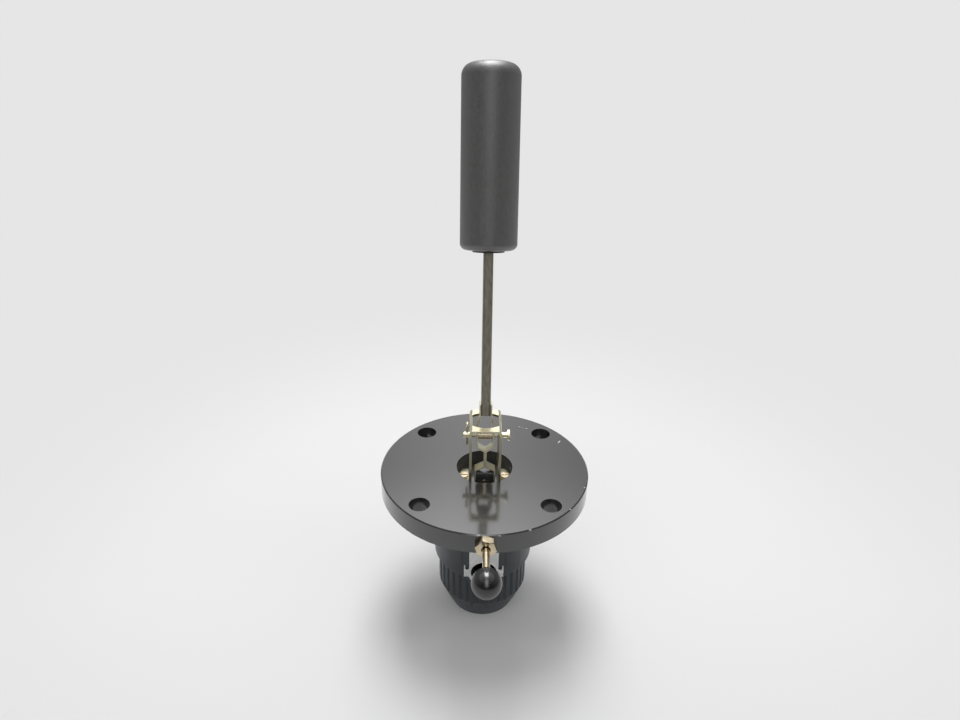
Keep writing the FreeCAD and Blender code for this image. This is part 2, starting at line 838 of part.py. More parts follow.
# The split pin is one half-round wire: up one leg, round the eye and down the other.
def make_split_pin():
    pin = doc.addObject("Part::Feature", "split_pin")
    pin.Label = "split_pin"
    wire_radius = split_diameter.value / 2
    leg = split_leg_gap.value / 2 + wire_radius * 0.45
    top = pin_diameter.value / 2 + split_rise.value - split_neck.value
    eye_radius = (split_eye.value - wire_radius) / 2
    centre_height = top + math.sqrt((split_neck.value + eye_radius) ** 2 - (leg + split_neck.value) ** 2)
    share = split_neck.value / (split_neck.value + eye_radius)
    touch = Vector(0, -leg - split_neck.value + (leg + split_neck.value) * share,
                   top + (centre_height - top) * share)
    bow = math.asin((leg + split_neck.value) / (split_neck.value + eye_radius)) / 2
    neck_middle = Vector(0, -leg - split_neck.value + split_neck.value * math.cos(math.pi / 4 - bow / 2 + 0.12),
                         top + split_neck.value * math.sin(math.pi / 4 - bow / 2 + 0.12))
    toe = -split_tail.value
    edges = [
        Part.LineSegment(Vector(0, -leg, toe), Vector(0, -leg, top)).toShape(),
        Part.Arc(Vector(0, -leg, top), neck_middle, touch).toShape(),
        Part.Arc(touch, Vector(0, 0, centre_height + eye_radius), Vector(0, -touch.y, touch.z)).toShape(),
        Part.Arc(Vector(0, -touch.y, touch.z), Vector(0, -neck_middle.y, neck_middle.z),
                 Vector(0, leg, top)).toShape(),
        Part.LineSegment(Vector(0, leg, top), Vector(0, leg, toe)).toShape(),
    ]
    path = Part.Wire(edges)
    flat = -split_leg_gap.value / 2
    inner = math.sqrt(wire_radius ** 2 - flat ** 2)
    bulge = Part.Arc(Vector(-inner, flat, toe), Vector(0, -wire_radius, toe), Vector(inner, flat, toe)).toShape()
    back = Part.LineSegment(Vector(inner, flat, toe), Vector(-inner, flat, toe)).toShape()
    pin.Shape = path.makePipeShell([Part.Wire([bulge, back])], True, False)
    place = FreeCAD.Placement(Vector(-split_place.value, 0, pivot_height.value),
                              FreeCAD.Rotation(Vector(0, 0, 1), 90 - split_turn.value))
    pin.Placement = place
    return pin


def make_gland_nut():
    body = new_body("gland_nut")
    corner = gland_across_flats / math.sqrt(3)
    face = new_sketch(body, "XZ_Plane", flange_radius)
    corners = []
    for number in range(6):
        turn = gland_turn + 90 + 60 * number
        corners.append((corner * cosine(turn), corner * sine(turn) - push_drop))
    outline(face, corners)
    pad(body, face, gland_head)

    spigot = new_sketch(body, "XZ_Plane", flange_radius)
    circle(spigot, zero, -push_drop, gland_spigot / 2)
    pad(body, spigot, gland_spigot_length, backwards=True)

    bore = new_sketch(body, "XZ_Plane", flange_radius + gland_head)
    circle(bore, zero, -push_drop, gland_bore / 2)
    pocket(body, bore, gland_head + gland_spigot_length)
    return body


# The hexagon's outer corners are turned off at 30 degrees, as on any turned nut.
def bevel_gland_nut(nut):
    corner = gland_across_flats / math.sqrt(3)
    flat = gland_across_flats / 2
    end = flange_radius + gland_head
    slope = (corner - flat) * 0.577
    section = nut.newObject("Sketcher::SketchObject", "gland_nut_bevel")
    section.AttachmentSupport = [(plane(nut, "YZ_Plane"), "")]
    section.MapMode = "FlatFace"
    outline(section, [
        (-end, flat - push_drop),
        (slope - end, corner - push_drop),
        (slope - end, corner + 1 - push_drop),
        (-(end + 1), corner + 1 - push_drop),
        (-(end + 1), flat - push_drop),
    ])
    axis = section.addGeometry(Part.LineSegment(Vector(-end.value, -push_drop.value, 0),
                                                Vector(0, -push_drop.value, 0)), True)
    constrain(section, [
        Sketcher.Constraint("DistanceX", axis, 1, -end.value),
        Sketcher.Constraint("DistanceY", axis, 1, -push_drop.value),
        Sketcher.Constraint("PointOnObject", axis, 2, -2),
        Sketcher.Constraint("Horizontal", axis),
    ], {0: (-end).formula, 1: (-push_drop).formula})
    groove(nut, section, "Axis0")


def make_gland_packing():
    packing = doc.addObject("Part::Cut", "gland_packing")
    packing.Label = "gland_packing"
    inner_end = flange_radius - gland_spigot_length - packing_length
    place = (zero, -inner_end, -push_drop)
    turn = ((1, 0, 0), as_size(90))
    packing.Base = cylinder("packing_outside", gland_spigot / 2, packing_length, place, turn)
    packing.Tool = cylinder("packing_inside", push_diameter / 2 + running_gap, packing_length, place, turn)
    return packing


# One cheek of the arm, a bent strip. Seen from the front it hugs the rod, opens round the
# pivot, closes to a blade and opens again round the magnet.
def make_cheek(label, side):
    body = new_body(label)
    stations = [
        (rod_half, cheek_top),
        (rod_half, cheek_flare_top),
        (cheek_gap / 2, cheek_flare_bottom),
        (cheek_gap / 2, cheek_waist_top),
        (zero, blade_top),
        (zero, blade_bottom),
        (magnet_box_gap / 2, magnet_box_top),
        (magnet_box_gap / 2, cheek_bottom),
    ]
    outside = [(rod_half + cheek_thickness, cheek_top)]
    for index in (1, 3, 5):
        near, far = stations[index], stations[index + 1]
        steepness = (far[0] - near[0]) / (near[1] - far[1])
        mitre = cheek_thickness * (root(steepness * steepness + 1) - 1) / steepness
        outside.append((near[0] + cheek_thickness, near[1] + mitre))
        outside.append((far[0] + cheek_thickness, far[1] + mitre))
    outside.append((magnet_box_gap / 2 + cheek_thickness, cheek_bottom))
    strip = new_sketch(body, "XZ_Plane")
    outline(strip, [(across * side, along) for across, along in stations + outside[::-1]])
    pad(body, strip, cheek_depth, way="Symmetric")

    holes = new_sketch(body, "YZ_Plane")
    circle(holes, zero, zero, pin_diameter / 2 + running_gap)
    for height in (rivet_high, rivet_low):
        circle(holes, zero, height, rivet_diameter / 2 + fastener_gap)
    pocket(body, holes, way="Symmetric")
    lean_back(body)
    return body


# Two rivets hammered flush in the blade.
def make_blade_rivets():
    rivets = []
    for number, height in enumerate((rivet_high, rivet_low)):
        rivets.append(cylinder(f"rivet_{number}", rivet_diameter / 2, cheek_thickness * 2,
                               (-cheek_thickness, zero, height), ((0, 1, 0), as_size(90))))
    rivets_group = group("blade_rivets", rivets)
    lean_back(rivets_group)
    return rivets_group


def make_pivot_sleeve():
    body = new_body("pivot_sleeve")
    section = new_sketch(body, "YZ_Plane")
    circle(section, zero, zero, sleeve_diameter / 2)
    circle(section, zero, zero, pin_diameter / 2 + running_gap)
    pad(body, section, cheek_gap, way="Symmetric")
    lean_back(body)
    return body


def make_arm_magnet():
    body = new_body("arm_magnet")
    section = new_sketch(body, "XZ_Plane")
    half = magnet_box_gap / 2
    box_outline(section, -half, half, magnet_bottom, magnet_top)
    pad(body, section, cheek_depth, way="Symmetric")
    lean_back(body)
    return body


def make_arm_rod():
    body = new_body("arm_rod")
    across = rod_width / 2
    along = rod_depth / 2
    section = new_sketch(body, "XY_Plane", rod_bottom)
    outline(section, [
        (across, rod_edge - along, rod_edge, 1),
        (across, along - rod_edge),
        (across - rod_edge, along, rod_edge, 1),
        (rod_edge - across, along),
        (-across, along - rod_edge, rod_edge, 1),
        (-across, rod_edge - along),
        (rod_edge - across, -along, rod_edge, 1),
        (across - rod_edge, -along),
    ])
    pad(body, section, float_bottom + rod_in_float - rod_bottom)
    lean_back(body)
    return body


def make_float_seat_plate():
    body = new_body("float_seat_plate")
    section = new_sketch(body, "XY_Plane", float_bottom - seat_plate_thickness)
    circle(section, zero, zero, seat_plate_diameter / 2)
    box_outline(section, -(rod_width / 2 + fastener_gap), rod_width / 2 + fastener_gap,
                -(rod_depth / 2 + fastener_gap), rod_depth / 2 + fastener_gap)
    pad(body, section, seat_plate_thickness)
    lean_back(body)
    return body


def make_float():
    body = new_body("float")
    radius = float_diameter / 2
    top = float_bottom + float_length
    flat = radius - float_top_edge
    dome = (flat * flat + float_dome * float_dome) / (float_dome * 2)
    section = new_sketch(body, "XZ_Plane")
    outline(section, [
        (zero, float_bottom),
        (radius - float_bottom_edge, float_bottom),
        (radius, float_bottom + float_bottom_edge, float_bottom_edge, 1),
        (radius, top - float_dome - float_top_edge),
        (flat, top - float_dome, float_top_edge, 1),
        (zero, top, dome, 1),
    ])
    revolve(body, section)
    sprue = new_sketch(body, "XY_Plane", top - float_dome)
    circle(sprue, sprue_place, zero, sprue_diameter / 2)
    pad(body, sprue, sprue_height)
    socket = new_sketch(body, "XY_Plane", float_bottom)
    box_outline(socket, -(rod_width / 2 + fastener_gap), rod_width / 2 + fastener_gap,
                -(rod_depth / 2 + fastener_gap), rod_depth / 2 + fastener_gap)
    pocket(body, socket, rod_in_float + seat_gap, backwards=True)
    lean_back(body)
    return body


def make_push_rod():
    tip_seat = tip_face + tip_length / 2
    knob_end = knob_place + knob_diameter / 2 - (knob_diameter - knob_bore_depth)
    rod = cylinder("push_rod", push_diameter / 2, knob_end - tip_seat,
                   (zero, -tip_seat, -push_drop), ((1, 0, 0), as_size(90)))
    rod.Label = "push_rod"
    return rod


def make_push_tip():
    body = new_body("push_tip")
    section = new_sketch(body, "XZ_Plane", tip_face)
    circle(section, zero, -push_drop, tip_diameter / 2)
    button = pad(body, section, tip_length)
    bevel_edges(body, button, 0.5, is_ring)
    socket = new_sketch(body, "XZ_Plane", tip_face + tip_length)
    circle(socket, zero, -push_drop, push_diameter / 2 + running_gap)
    pocket(body, socket, tip_length / 2)
    return body


def make_ball_knob():
    body = new_body("ball_knob")
    radius = knob_diameter / 2
    face = knob_flat / 2
    depth = root(radius * radius - face * face)
    bore = push_diameter / 2 + running_gap
    section = new_sketch(body, "XY_Plane")
    outline(section, [
        (zero, -radius),
        (radius, zero, radius, 1),
        (face, depth, radius, 1),
        (bore, depth),
        (bore, radius - knob_bore_depth),
        (zero, radius - knob_bore_depth),
    ])
    revolve(body, section)
    locate(body, (zero, -knob_place, -push_drop))
    return body


def make_module_carrier():
    body = new_body("module_carrier")
    half = carrier_width / 2
    cheek = carrier_cheek_gap / 2
    front = -(carrier_depth / 2)
    base = new_sketch(body, "XY_Plane", hub_bottom)
    box_outline(base, -half, half, front, carrier_depth / 2)
    pad(body, base, carrier_sheet, backwards=True)
    for side in (-1, 1):
        leg = new_sketch(body, "XY_Plane", hub_bottom)
        outline(leg, [
            (cheek * side, -(carrier_cheek_depth / 2)),
            ((cheek + carrier_sheet) * side, -(carrier_cheek_depth / 2)),
            ((cheek + carrier_sheet) * side, carrier_cheek_depth / 2),
            (cheek * side, carrier_cheek_depth / 2),
        ])
        pad(body, leg, carrier_cheek_length, backwards=True)
    back = new_sketch(body, "XY_Plane", hub_bottom)
    box_outline(back, -(carrier_back_width / 2), carrier_back_width / 2,
                carrier_depth / 2 - carrier_sheet, carrier_depth / 2)
    pad(body, back, carrier_back_length, backwards=True)

    opening = new_sketch(body, "XY_Plane", hub_bottom)
    circle(opening, zero, zero, carrier_cheek_gap / 2 - 0.5)
    pocket(body, opening, carrier_sheet)
    screws = new_sketch(body, "XY_Plane", hub_bottom)
    for side in (-1, 1):
        circle(screws, module_screw_spacing * side / 2, zero, module_screw / 2 + seat_gap)
    pocket(body, screws, carrier_sheet)
    axle = new_sketch(body, "YZ_Plane")
    circle(axle, zero, -rocker_drop, rocker_pin / 2 + running_gap)
    pocket(body, axle, way="Symmetric")
    return body


def make_module_screws():
    screws = []
    head_top = hub_bottom - carrier_sheet
    for number, side in enumerate((-1, 1)):
        across = module_screw_spacing * side / 2
        head = cylinder(f"module_screw_head_{number}", module_screw_head / 2, module_screw_head_height,
                        (across, zero, head_top - module_screw_head_height))
        shank = cylinder(f"module_screw_shank_{number}", module_screw / 2, carrier_sheet + module_screw_depth - 0.5,
                         (across, zero, head_top))
        screws.append(join(f"module_screw_{number}", [head, shank]))
    return group("module_screws", screws)


def make_rocker_pin():
    length = carrier_cheek_gap + carrier_sheet * 2 + 2
    pin = cylinder("rocker_axle", rocker_pin / 2, length, (-(length / 2), zero, -rocker_drop),
                   ((0, 1, 0), as_size(90)))
    pin.Label = "rocker_axle"
    return pin


# The rocker is drawn upright round its own pin, then tilted the other way from the arm's magnet.
def tilt(body):
    locate(body, (zero, zero, -rocker_drop), ((1, 0, 0), -rocker_tilt))


def rocker_top():
    return rocker_drop + recess_floor - magnet_wall - rocker_magnet_gap


def make_rocker():
    body = new_body("rocker")
    half = rocker_stem / 2
    section = new_sketch(body, "YZ_Plane")
    stem_top = rocker_top() - rocker_magnet_height
    cup = rocker_magnet_width / 2
    outline(section, [
        (-half, -rocker_tail),
        (rocker_nose, -rocker_tail),
        (rocker_nose, rocker_nose_height - rocker_tail),
        (half, rocker_nose_height - rocker_tail),
        (half, stem_top - 1.5),
        (cup, stem_top - 1.5),
        (cup, stem_top),
        (-cup, stem_top),
        (-cup, stem_top - 1.5),
        (-half, stem_top - 1.5),
    ])
    pad(body, section, rocker_width, way="Symmetric")
    boss = new_sketch(body, "YZ_Plane")
    circle(boss, zero, zero, rocker_boss / 2)
    pad(body, boss, carrier_cheek_gap - 1, way="Symmetric")
    hole = new_sketch(body, "YZ_Plane")
    circle(hole, zero, zero, rocker_pin / 2 + running_gap)
    pocket(body, hole, way="Symmetric")
    tilt(body)
    return body


def make_rocker_magnet():
    body = new_body("rocker_magnet")
    section = new_sketch(body, "YZ_Plane")
    top = rocker_top()
    box_outline(section, -(rocker_magnet_width / 2), rocker_magnet_width / 2, top - rocker_magnet_height, top)
    pad(body, section, rocker_width, way="Symmetric")
    tilt(body)
    return body


def carrier_face():
    return carrier_depth / 2 - carrier_sheet


def nose_height():
    return rocker_nose_height / 2 - rocker_drop - rocker_tail


def make_microswitch():
    body = new_body("microswitch")
    section = new_sketch(body, "XZ_Plane", -carrier_face())
    middle = nose_height()
    box_outline(section, -(switch_width / 2), switch_width / 2, middle - switch_height / 2,
                middle + switch_height / 2)
    pad(body, section, switch_depth)
    socket = new_sketch(body, "XZ_Plane", switch_depth - carrier_face())
    circle(socket, zero, middle, plunger_diameter / 2 + running_gap)
    pocket(body, socket, plunger_socket)
    return body


def make_switch_plunger():
    face = carrier_face() - switch_depth
    plunger = cylinder("switch_plunger", plunger_diameter / 2, plunger_reach + plunger_socket - 1.2,
                       (zero, face + plunger_socket - 1.2, nose_height()), ((1, 0, 0), as_size(90)))
    plunger.Label = "switch_plunger"
    return plunger


def terminal_bottom():
    return hub_bottom - carrier_back_length


def make_terminal_block():
    body = new_body("terminal_block")
    section = new_sketch(body, "XZ_Plane", -carrier_face())
    low = terminal_bottom()
    box_outline(section, -(terminal_width / 2), terminal_width / 2, low, low + terminal_height)
    pad(body, section, terminal_depth)
    wells = new_sketch(body, "XZ_Plane", terminal_depth - carrier_face())
    for place in (-1, 0, 1):
        circle(wells, terminal_pitch * place, low + terminal_height / 2, terminal_screw_head / 2 + seat_gap)
    pocket(body, wells, terminal_screw_sink)
    threads = new_sketch(body, "XZ_Plane", terminal_depth - carrier_face())
    for place in (-1, 0, 1):
        circle(threads, terminal_pitch * place, low + terminal_height / 2, terminal_screw / 2 + fastener_gap)
    pocket(body, threads, terminal_depth - 2)
    return body


def make_terminal_screws():
    screws = []
    face = carrier_face() - terminal_depth + terminal_screw_sink
    height = terminal_bottom() + terminal_height / 2
    turn = ((1, 0, 0), as_size(90))
    for number, place in enumerate((-1, 0, 1)):
        across = terminal_pitch * place
        head = cylinder(f"terminal_screw_head_{number}", terminal_screw_head / 2, 1.6, (across, face, height), turn)
        shank = cylinder(f"terminal_screw_shank_{number}", terminal_screw / 2, 5, (across, face + 5, height), turn)
        screws.append(join(f"terminal_screw_{number}", [head, shank]))
    return group("terminal_screws", screws)


nut = make_gland_nut()
bevel_gland_nut(nut)
nodes = [
    make_mounting_flange(),
    make_flange_hub(),
    make_flange_gasket(),
    make_switch_housing(),
    make_housing_cap(),
    make_cap_seal(),
    make_cable_entry_plate(),
    make_housing_screws(),
    make_pivot_bracket(),
    make_bracket_screws(),
    make_pivot_pin(),
    make_split_pin(),
    nut,
    make_gland_packing(),
    make_cheek("left_cheek", -1),
    make_cheek("right_cheek", 1),
    make_blade_rivets(),
    make_pivot_sleeve(),
    make_arm_magnet(),
    make_arm_rod(),
    make_float_seat_plate(),
    make_float(),
    make_push_rod(),
    make_push_tip(),
    make_ball_knob(),
    make_module_carrier(),
    make_module_screws(),
    make_rocker_pin(),
    make_rocker(),
    make_rocker_magnet(),
    make_microswitch(),
    make_switch_plunger(),
    make_terminal_block(),
    make_terminal_screws(),
]
doc.recompute()

for thing in doc.Objects:
    if "Invalid" in thing.State or "Error" in thing.State:
        raise RuntimeError(f"{thing.Name} did not build: {thing.State}")
for node in nodes:
    if node.Shape.isNull() or not node.Shape.isValid():
        raise RuntimeError(f"{node.Label} has no valid shape")

os.makedirs("parts", exist_ok=True)
for node in nodes:
    node.Shape.exportStep(f"parts/{node.Label}.step")
    print(node.Label, len(node.Shape.Solids), round(node.Shape.Volume, 1))
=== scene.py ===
import json
import math

import bpy
from mathutils import Euler, Matrix, Vector


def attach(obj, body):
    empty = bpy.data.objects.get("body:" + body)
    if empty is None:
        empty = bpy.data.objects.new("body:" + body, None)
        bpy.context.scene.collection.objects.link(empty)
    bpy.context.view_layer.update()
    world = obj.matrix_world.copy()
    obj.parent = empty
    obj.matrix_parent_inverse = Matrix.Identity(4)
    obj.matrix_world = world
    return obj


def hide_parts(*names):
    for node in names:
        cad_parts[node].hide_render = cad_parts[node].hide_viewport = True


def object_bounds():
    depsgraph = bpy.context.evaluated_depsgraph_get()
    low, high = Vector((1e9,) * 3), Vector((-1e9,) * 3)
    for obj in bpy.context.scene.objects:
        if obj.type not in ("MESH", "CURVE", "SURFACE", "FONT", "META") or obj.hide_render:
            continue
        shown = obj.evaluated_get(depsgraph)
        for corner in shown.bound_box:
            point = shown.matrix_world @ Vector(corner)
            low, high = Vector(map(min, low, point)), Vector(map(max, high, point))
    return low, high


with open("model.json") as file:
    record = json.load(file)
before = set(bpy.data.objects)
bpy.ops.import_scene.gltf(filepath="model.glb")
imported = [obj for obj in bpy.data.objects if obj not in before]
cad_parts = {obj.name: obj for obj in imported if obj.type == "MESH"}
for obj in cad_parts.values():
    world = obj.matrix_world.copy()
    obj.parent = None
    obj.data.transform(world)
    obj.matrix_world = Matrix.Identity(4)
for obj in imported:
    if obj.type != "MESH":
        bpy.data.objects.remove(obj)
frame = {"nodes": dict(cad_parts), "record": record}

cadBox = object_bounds()
nodes = frame["nodes"]
print("frame loaded,", len(nodes), "nodes")

mm = 0.001

# the camera stands where the flange's rim and bolt holes say: above, and a little left of centre
cameraSettings = {
    "place": (-11.9 * mm, -447.1 * mm, 317.6 * mm),
    "down": 27.0,
    "heading": -0.89,
    "roll": 1.1,
    "lens": 27.04,
}

lightSettings = {
    "backdropGrey": 0.79,      # what the camera sees beyond the floor
    "glossFront": 0.13,        # what shiny surfaces mirror from the room before the object
    "glossSide": 0.38,         # from the walls beside it
    "glossBack": 1.22,         # and from the pale wall behind it, brighter higher up
    "glossHigh": 2.8,
    "glossWindow": 2.0,        # a soft window high up before the object, for the sheen on the float
    "frontToBack": (-0.75, 0.25),      # the next six: where in the room one wall gives way to the next
    "middleToSide": (0.02, 0.24),
    "lowToHigh": (0.58, 0.68),
    "windowReach": (-0.55, -0.30),
    "windowWidth": (0.06, 0.30),
    "windowRise": (0.20, 0.50),
    "worldStrength": 0.50,
    "topPower": 12.5,          # one soft lamp above and a little behind
    "topSize": 0.5,
    "topLength": 0.8,
    "topPlace": (-0.02, 0.36, 1.22),
    "fillPower": 2.4,
    "fillSize": 0.9,
    "fillPlace": (-0.55, -0.95, 0.6),
    "sidePower": 1.4,
    "sidePlace": (0.95, -0.35, 0.55),
}

floorSettings = {
    "near": 0.70,              # the floor before the object, painted a little darker as painted shade
    "far": 0.80,
    "shadowReach": 0.30,       # radius round the object where the floor takes light and shadow
    "plainReach": 0.60,        # radius past which it is the same plain grey as the backdrop
    "nearShadeToFar": (-0.35, 0.0),
    "size": 12.0,
}


def deselectAll():
    bpy.ops.object.select_all(action="DESELECT")


def newMaterial(name):
    material = bpy.data.materials.new(name)
    material.use_nodes = True
    tree = material.node_tree
    return material, tree, tree.nodes["Principled BSDF"]


def addNode(tree, kind, **values):
    node = tree.nodes.new(kind)
    for key, value in values.items():
        if key in node.inputs:
            node.inputs[key].default_value = value
        else:
            setattr(node, key, value)
    return node


def objectPoint(tree):
    return addNode(tree, "ShaderNodeTexCoord").outputs["Object"]


def noise(tree, point, scale, detail=3.0, roughness=0.5, distortion=0.0):
    node = addNode(tree, "ShaderNodeTexNoise")
    node.inputs["Scale"].default_value = scale
    node.inputs["Detail"].default_value = detail
    node.inputs["Roughness"].default_value = roughness
    node.inputs["Distortion"].default_value = distortion
    tree.links.new(point, node.inputs["Vector"])
    return node.outputs["Fac"]


def ramp(tree, value, stops):
    node = tree.nodes.new("ShaderNodeValToRGB")
    points = node.color_ramp.elements
    while len(points) < len(stops):
        points.new(0.5)
    for element, (place, colour) in zip(points, stops):
        element.position = place
        element.color = (*colour, 1.0)
    tree.links.new(value, node.inputs["Fac"])
    return node.outputs["Color"]


def spread(tree, value, low, high, fromLow=0.3, fromHigh=0.7):
    node = tree.nodes.new("ShaderNodeMapRange")
    node.inputs["From Min"].default_value = fromLow
    node.inputs["From Max"].default_value = fromHigh
    node.inputs["To Min"].default_value = low
    node.inputs["To Max"].default_value = high
    tree.links.new(value, node.inputs["Value"])
    return node.outputs["Result"]


def multiply(tree, one, other):
    node = addNode(tree, "ShaderNodeMath", operation="MULTIPLY")
    tree.links.new(one, node.inputs[0])
    tree.links.new(other, node.inputs[1])
    return node.outputs[0]


def blend(tree, share, colour, over):
    node = addNode(tree, "ShaderNodeMix", data_type="RGBA")
    tree.links.new(share, node.inputs["Factor"])
    tree.links.new(colour, node.inputs[6])
    node.inputs[7].default_value = (*over, 1.0)
    return node.outputs[2]


def bump(tree, shader, height, strength, distance):
    node = tree.nodes.new("ShaderNodeBump")
    node.inputs["Strength"].default_value = strength
    node.inputs["Distance"].default_value = distance
    tree.links.new(height, node.inputs["Height"])
    tree.links.new(node.outputs["Normal"], shader.inputs["Normal"])


# pale nicks in the flange's face: x, y and turn, then half their length and width, in mm
flangeNicks = (
    ((59.8, 34.4, 60.0), 2.4, 0.55),
    ((29.3, 56.2, -20.0), 1.1, 0.25),
    ((32.0, 54.6, -20.0), 0.8, 0.20),
    ((34.9, 53.5, -8.0), 1.4, 0.25),
    ((72.0, -25.0, 0.0), 0.6, 0.45),
    ((59.0, -49.5, 30.0), 1.2, 0.30),
)


flangeFinish = {
    "rimWear": (76.4 * mm, 77.0 * mm),         # radius where the knocked rim begins
    "topWear": (-1.6 * mm, -0.3 * mm),
    "recessWall": (21.2 * mm, 21.9 * mm),
    "recessMouth": (-1.2 * mm, -0.4 * mm),
    "chip": (0.42, 0.41, 0.39),
    "nick": (0.55, 0.55, 0.54),
    "recess": (0.100, 0.100, 0.100),
}


# satin coating: a sharp clear layer over a softer dark grey, pale where the rim was knocked and
# a paler grey inside the recess
def flangePaint():
    material, tree, shader = newMaterial("flangePaint")
    point = objectPoint(tree)
    cloud = noise(tree, point, 14.0, 3.0)
    colour = ramp(tree, cloud, [(0.3, (0.011, 0.011, 0.012)), (0.7, (0.016, 0.016, 0.017))])
    parts = addNode(tree, "ShaderNodeSeparateXYZ")
    tree.links.new(point, parts.inputs[0])
    flat = addNode(tree, "ShaderNodeCombineXYZ")
    tree.links.new(parts.outputs["X"], flat.inputs["X"])
    tree.links.new(parts.outputs["Y"], flat.inputs["Y"])
    radius = addNode(tree, "ShaderNodeVectorMath", operation="LENGTH")
    tree.links.new(flat.outputs[0], radius.inputs[0])
    rim = spread(tree, radius.outputs["Value"], 0.0, 1.0, *flangeFinish["rimWear"])
    top = spread(tree, parts.outputs["Z"], 0.0, 1.0, *flangeFinish["topWear"])
    chips = spread(tree, noise(tree, point, 75.0, 4.0, 0.65), 0.0, 1.0, 0.62, 0.66)
    worn = blend(tree, multiply(tree, multiply(tree, rim, top), chips), colour, flangeFinish["chip"])
    for place, length, size in flangeNicks:
        near = addNode(tree, "ShaderNodeMapping", vector_type="TEXTURE")
        near.inputs["Location"].default_value = (place[0] * mm, place[1] * mm, 0)
        near.inputs["Rotation"].default_value = (0, 0, math.radians(place[2]))
        near.inputs["Scale"].default_value = (length * mm, size * mm, 1.0 * mm)
        tree.links.new(point, near.inputs["Vector"])
        distance = addNode(tree, "ShaderNodeVectorMath", operation="LENGTH")
        tree.links.new(near.outputs["Vector"], distance.inputs[0])
        mark = spread(tree, distance.outputs["Value"], 1.0, 0.0, 0.75, 1.0)
        worn = blend(tree, mark, worn, flangeFinish["nick"])
    # a paler grey over the recess's wall and floor, below its mouth
    inner = spread(tree, radius.outputs["Value"], 1.0, 0.0, *flangeFinish["recessWall"])
    below = spread(tree, parts.outputs["Z"], 1.0, 0.0, *flangeFinish["recessMouth"])
    paleRecess = blend(tree, multiply(tree, inner, below), worn, flangeFinish["recess"])
    tree.links.new(paleRecess, shader.inputs["Base Color"])
    tree.links.new(spread(tree, cloud, 0.33, 0.40), shader.inputs["Roughness"])
    shader.inputs["Specular IOR Level"].default_value = 0.25
    shader.inputs["Coat Weight"].default_value = 1.0
    shader.inputs["Coat IOR"].default_value = 1.70
    shader.inputs["Coat Roughness"].default_value = 0.11
    bump(tree, shader, noise(tree, point, 1400.0, 2.0), 0.08, 0.0001)
    return material


def housingPaint():
    material, tree, shader = newMaterial("housingPaint")
    point = objectPoint(tree)
    cloud = noise(tree, point, 60.0, 4.0)
    colour = ramp(tree, cloud, [(0.3, (0.022, 0.028, 0.033)), (0.7, (0.031, 0.038, 0.044))])
    tree.links.new(colour, shader.inputs["Base Color"])
    tree.links.new(spread(tree, cloud, 0.36, 0.46), shader.inputs["Roughness"])
    bump(tree, shader, noise(tree, point, 900.0, 3.0), 0.3, 0.0002)
    return material


def floatPlastic():
    material, tree, shader = newMaterial("floatPlastic")
    point = objectPoint(tree)
    grain = noise(tree, point, 420.0, 4.0, 0.6)
    colour = ramp(tree, grain, [(0.3, (0.058, 0.057, 0.056)), (0.7, (0.075, 0.073, 0.072))])
    tree.links.new(colour, shader.inputs["Base Color"])
    tree.links.new(spread(tree, grain, 0.34, 0.46), shader.inputs["Roughness"])
    shader.inputs["Specular IOR Level"].default_value = 1.0
    shader.inputs["IOR"].default_value = 1.58
    bump(tree, shader, noise(tree, point, 1500.0, 4.0, 0.6), 0.5, 0.0003)
    return material


def yellowZinc():
    material, tree, shader = newMaterial("yellowZinc")
    point = objectPoint(tree)
    cloud = noise(tree, point, 160.0, 4.0, 0.55, 0.4)
    tints = [(0.25, (0.62, 0.57, 0.37)), (0.5, (0.75, 0.72, 0.53)), (0.75, (0.72, 0.64, 0.53))]
    colour = ramp(tree, cloud, tints)
    tree.links.new(colour, shader.inputs["Base Color"])
    shader.inputs["Metallic"].default_value = 1.0
    tree.links.new(spread(tree, cloud, 0.24, 0.40), shader.inputs["Roughness"])
    bump(tree, shader, noise(tree, point, 1200.0, 2.0), 0.1, 0.0001)
    return material


def goldBrass():
    material, tree, shader = newMaterial("goldBrass")
    point = objectPoint(tree)
    cloud = noise(tree, point, 220.0, 3.0)
    colour = ramp(tree, cloud, [(0.3, (0.54, 0.45, 0.31)), (0.7, (0.70, 0.61, 0.44))])
    tree.links.new(colour, shader.inputs["Base Color"])
    shader.inputs["Metallic"].default_value = 1.0
    tree.links.new(spread(tree, cloud, 0.16, 0.28), shader.inputs["Roughness"])
    bump(tree, shader, noise(tree, point, 1600.0, 2.0), 0.08, 0.0001)
    return material


def brightPlate():
    material, tree, shader = newMaterial("brightPlate")
    point = objectPoint(tree)
    cloud = noise(tree, point, 180.0, 3.0)
    colour = ramp(tree, cloud, [(0.3, (0.52, 0.52, 0.52)), (0.7, (0.62, 0.62, 0.61))])
    tree.links.new(colour, shader.inputs["Base Color"])
    shader.inputs["Metallic"].default_value = 1.0
    tree.links.new(spread(tree, cloud, 0.20, 0.34), shader.inputs["Roughness"])
    bump(tree, shader, noise(tree, point, 900.0, 2.0), 0.12, 0.0001)
    return material


# drawn lengthwise, so its grain runs up the rod
def bronzeRod():
    material, tree, shader = newMaterial("bronzeRod")
    drawn = addNode(tree, "ShaderNodeMapping")
    drawn.inputs["Scale"].default_value = (1.0, 1.0, 0.04)
    tree.links.new(objectPoint(tree), drawn.inputs["Vector"])
    lines = noise(tree, drawn.outputs["Vector"], 700.0, 3.0)
    colour = ramp(tree, lines, [(0.3, (0.23, 0.22, 0.175)), (0.7, (0.34, 0.32, 0.26))])
    tree.links.new(colour, shader.inputs["Base Color"])
    shader.inputs["Metallic"].default_value = 0.85
    tree.links.new(spread(tree, lines, 0.34, 0.48), shader.inputs["Roughness"])
    bump(tree, shader, lines, 0.2, 0.0001)
    return material


